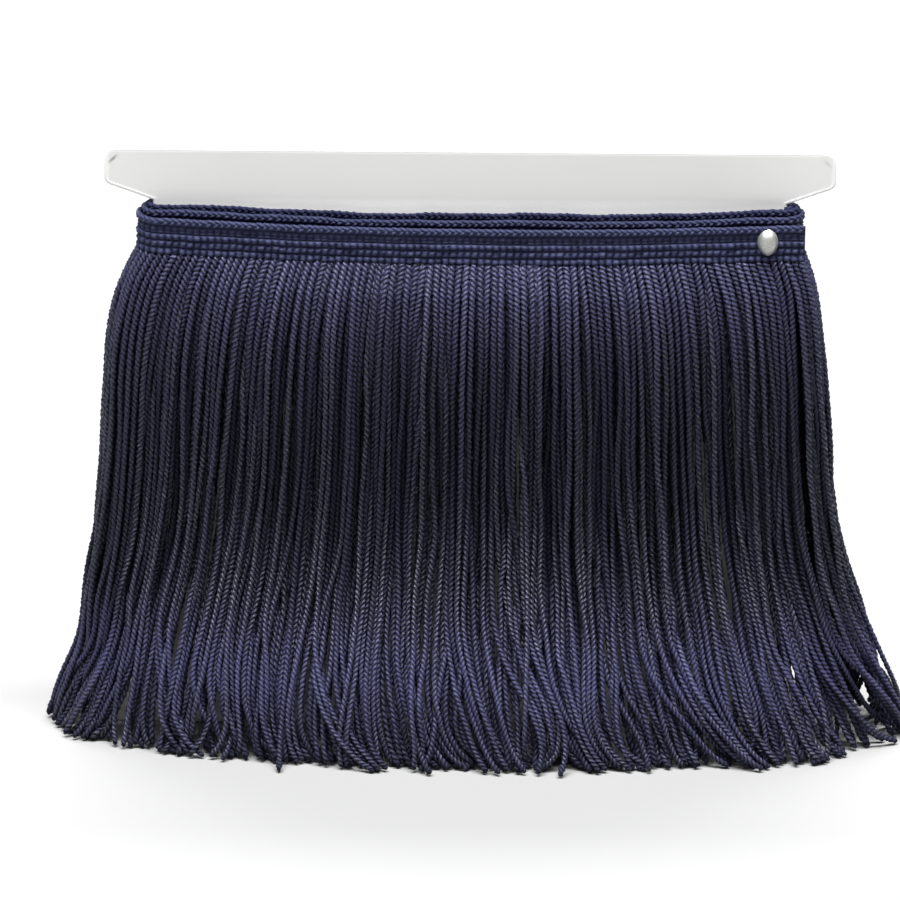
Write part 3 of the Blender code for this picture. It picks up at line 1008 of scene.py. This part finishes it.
def settle(points, values):
    # eases cords that meet apart, so that they lie beside and on each other
    low = points[:, values["firstPoint"]:].copy()
    before = low.copy()
    count, levels, _ = low.shape
    cordOf = np.repeat(np.arange(count), levels)
    thick = 2 * cords["radiusEnd"] * values["thickness"]
    free = np.clip((np.arange(levels) - 1) / values["freeOver"], 0, 1)[None, :, None]
    for step in range(values["steps"]):
        if step % values["pairsEvery"] == 0:
            first, second = nearPairs(low.reshape(-1, 3), cordOf, thick * values["pairReach"])
        flat = low.reshape(-1, 3)
        apart = flat[first] - flat[second]
        distance = np.linalg.norm(apart, axis=1) + 1e-9
        push = apart * (np.clip(thick - distance, 0, None) / distance * values["push"])[:, None]
        moved = [np.bincount(first, p, len(flat)) - np.bincount(second, p, len(flat)) for p in push.T]
        moved = np.stack(moved, axis=1).reshape(low.shape)
        low = low + moved * free
        low[:, 1:-1] += values["smooth"] * (0.5 * (low[:, :-2] + low[:, 2:]) - low[:, 1:-1])
        low += values["return"] * (before - low)
        low[..., 2] = np.maximum(low[..., 2], cords["radiusEnd"] * 0.9)
    return np.concatenate([points[:, :values["firstPoint"]], low], axis=1)


def makeCords(name, points, phaseTurns, toneAndShade, layer, twists, steps, rng, node, material):
    # two-ply cords on these paths, joined in one piece, with so many steps to a twist
    values = cords
    fineShare = np.linspace(0, 1, 2001)
    turned = np.cumsum(fromTable(values["twist"][layer], fineShare)) / len(fineShare) * twists
    levels = int(turned[-1] * steps)
    share = np.interp(np.linspace(0, 1, levels), (turned - turned[0]) / (turned[-1] - turned[0]), fineShare)
    course = curved(points, share)
    tangent = unit(np.gradient(course, share, axis=1))
    angle = 2 * np.pi * phaseTurns
    sideways = np.stack([np.cos(angle), np.sin(angle), np.zeros(len(angle))], axis=1)[:, None]
    first = unit(sideways - (sideways * tangent).sum(2)[..., None] * tangent)
    second = np.cross(tangent, first)
    hand = np.where(rng.random(len(points)) < values["otherHand"], 1.0, -1.0)
    start = rng.uniform(0, 2 * np.pi, len(points))
    twist = start[:, None] + hand[:, None] * 2 * np.pi * np.linspace(0, turned[-1], levels)[None, :]
    radius = values["radiusTop"] + (values["radiusEnd"] - values["radiusTop"]) * share**1.5
    radius = radius * fromTable(values["wider"], share)
    size = rng.normal(values["turnWider"][layer], values["sizeChange"], len(points))
    pair = np.array([1.0, values["valley"], 1.0, values["valley"]])
    around = twist[:, :, None] + np.arange(4) * np.pi / 2
    reach = (size[:, None] * radius[None, :])[:, :, None] * pair
    rings = course[:, :, None] + reach[..., None] * (
        np.cos(around)[..., None] * first[:, :, None] + np.sin(around)[..., None] * second[:, :, None]
    )
    rings[..., 2] = np.maximum(rings[..., 2], 0.00003)
    length = np.linalg.norm(np.diff(course, axis=1), axis=2).sum(1)
    along = share[None, :] * length[:, None] * 1000 + 211.0 * np.arange(len(points))[:, None]
    # painted light by height: the cords are drawn lit where they slope out, in painted shade down the waist
    # and on the inner turns
    paintedLight = fromTable(sorted(values["paintedLight"]), course[..., 2] / course[:, :1, 2])
    paintedLight = paintedLight ** rng.uniform(*values["paintedLightChange"], (len(points), 1)) * values["turnPaintedLight"][layer]
    shade = fromTable(values["shade"], share)[None, :, None]
    look = {"paintedLight": paintedLight[..., None], "toneAndShade": toneAndShade[:, None, None], "shade": shade}
    piece = addTubes(name, rings, along, look, material)
    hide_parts(node)
    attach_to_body(piece, "root")
    print(name, len(points), "cords,", 2 * len(piece.data.polygons), "triangles")
    return piece


makeCamera(cameraView)
makeStudio(studio)
makeFloor(floorFinish, floorMaterial(floorFinish))
makeCard(board, boardMaterial(boardFinish))
makeStud(stud, studMaterial(studFinish))
print("card and stud made")

line = windingLine(winding)
tapeLook = tapeMaterial(tapeYarn)
tapeLength = float(line[5][-1])
outerLength = float(np.interp(winding["outerTurn"], line[0], line[5]))
innerRows = tape["rows"][:tape["innerRows"]] + tape["rows"][-1:]
fine, coarse = tape["steps"]
outerTape = tapePiece("header_tape_outer", line, 0.0, outerLength, tape["rows"], fine, tape, tapeLook)
innerTape = tapePiece("header_tape_inner", line, outerLength, tapeLength, innerRows, coarse, tape, tapeLook)
headerChain = makeChain(line, chain, tapeLook)
for piece in (outerTape, innerTape):
    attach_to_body(piece, "root")
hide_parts("header")
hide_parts("header")
print("header made")

rng = np.random.default_rng(gathering["seed"])
paths = [cordPaths(line, layer, rng) for layer in range(len(layers))]
pointCount = int(cords["length"] / cords["pointSpacing"])
everyPath = evenly(np.concatenate([path for path, _, _ in paths]), pointCount)
settled = settle(everyPath, settling)
print("cords settled:", len(settled))
starts = np.cumsum([0] + [len(path) for path, _, _ in paths])
cordLook = cordMaterial(cordYarn)
share = winding["straightShare"]
pieces = (
    # name, turn, from and to this share of the turn, twists, steps to a twist, node
    ("cords_front", 0, -1.0, share, 48, 4.9, "fringe_front"),
    ("cords_left", 0, share, 0.5, 48, 4.9, "fringe_left"),
    ("cords_back", 0, 0.5, 0.5 + share, 42, 4.5, "fringe_back"),
    ("cords_right", 0, 0.5 + share, 1.0, 48, 4.9, "fringe_right"),
    ("cords_second_front", 1, -1.0, 0.5, 46, 4.5, "fringe_inner_front"),
    ("cords_second_back", 1, 0.5, 1.0, 32, 4.4, "fringe_inner_back"),
    ("cords_third_front", 2, -1.0, 0.5, 38, 4.5, "fringe_inner_front"),
    ("cords_third_back", 2, 0.5, 1.0, 30, 4.4, "fringe_inner_back"),
)
for name, layer, start, end, twists, steps, node in pieces:
    _, phase, toneAndShade = paths[layer]
    chosen = (phase >= start) & (phase < end)
    points = settled[starts[layer]:starts[layer + 1]][chosen]
    rows = (points, phase[chosen], toneAndShade[chosen])
    makeCords(name, *rows, layer, twists, steps, rng, node, cordLook)

made = [thing for thing in bpy.data.objects if thing.type == "MESH" and not thing.hide_render]
print("triangles:", sum(sum(len(p.vertices) - 2 for p in thing.data.polygons) for thing in made))
